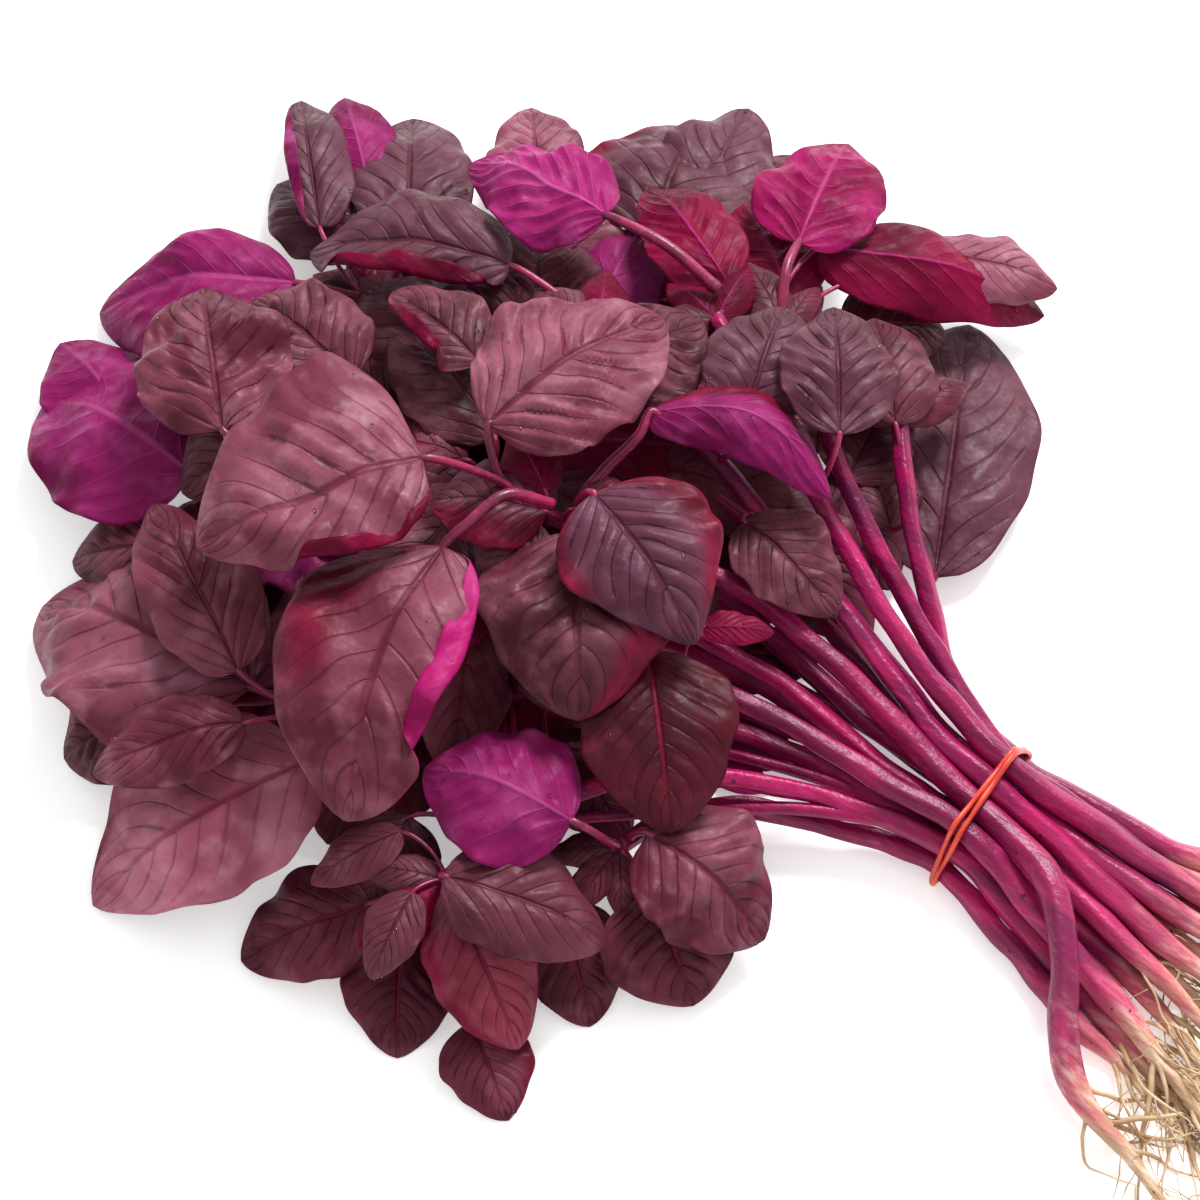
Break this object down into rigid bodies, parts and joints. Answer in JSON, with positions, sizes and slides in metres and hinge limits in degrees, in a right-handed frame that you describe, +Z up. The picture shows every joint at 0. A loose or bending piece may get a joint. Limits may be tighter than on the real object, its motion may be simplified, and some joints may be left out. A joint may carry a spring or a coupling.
{
  "type": "red amaranth bunch",
  "caption": "Bunch of red amaranth lying on its side: leafy heads, stems with their roots, and a rubber band round the stems.",
  "frame": {"origin": "on the surface that the bunch lies on, in the middle of the rubber band's underside", "axes": "+X along the bunch from the leaves to the roots, +Y across it, +Z up"},
  "size_m": [0.3796, 0.2897, 0.068],
  "materials": {
    "leaf_mauve": "satin",
    "leaf_brown": "satin",
    "leaf_maroon": "satin",
    "leaf_crimson": "satin",
    "leaf_violet": "satin",
    "stem": "satin",
    "rubber_band": "satin"
  },
  "bodies": {
    "root": {"leaf_01": "leaf_maroon", "leaf_02": "leaf_maroon", "leaf_03": "leaf_maroon", "leaf_04": "leaf_maroon", "leaf_05": "leaf_maroon", "leaf_06": "leaf_mauve", "leaf_07": "leaf_violet", "leaf_08": "leaf_mauve", "leaf_09": "leaf_mauve", "leaf_10": "leaf_mauve", "leaf_11": "leaf_maroon", "leaf_12": "leaf_crimson", "leaf_13": "leaf_brown", "leaf_14": "leaf_brown", "leaf_15": "leaf_mauve", "leaf_16": "leaf_violet", "leaf_17": "leaf_brown", "leaf_18": "leaf_violet", "leaf_19": "leaf_violet", "leaf_20": "leaf_mauve", "leaf_21": "leaf_brown", "leaf_22": "leaf_brown", "leaf_23": "leaf_brown", "leaf_24": "leaf_maroon", "leaf_25": "leaf_brown", "leaf_26": "leaf_brown", "leaf_27": "leaf_mauve", "leaf_28": "leaf_brown", "leaf_29": "leaf_brown", "leaf_30": "leaf_brown", "leaf_31": "leaf_mauve", "leaf_32": "leaf_mauve", "leaf_33": "leaf_crimson", "leaf_34": "leaf_crimson", "leaf_35": "leaf_crimson", "leaf_36": "leaf_violet", "leaf_37": "leaf_crimson", "leaf_38": "leaf_maroon", "leaf_39": "leaf_maroon", "leaf_40": "leaf_mauve", "leaf_41": "leaf_mauve", "leaf_42": "leaf_violet", "leaf_43": "leaf_mauve", "leaf_44": "leaf_mauve", "stem_01": "stem", "stem_02": "stem", "stem_03": "stem", "stem_04": "stem", "stem_05": "stem", "stem_06": "stem", "stem_07": "stem", "stem_08": "stem", "stem_09": "stem", "stem_10": "stem", "stem_11": "stem", "stem_12": "stem", "stem_13": "stem", "stem_14": "stem", "stem_15": "stem", "rubber_band": "rubber_band"}
  },
  "joints": []
}
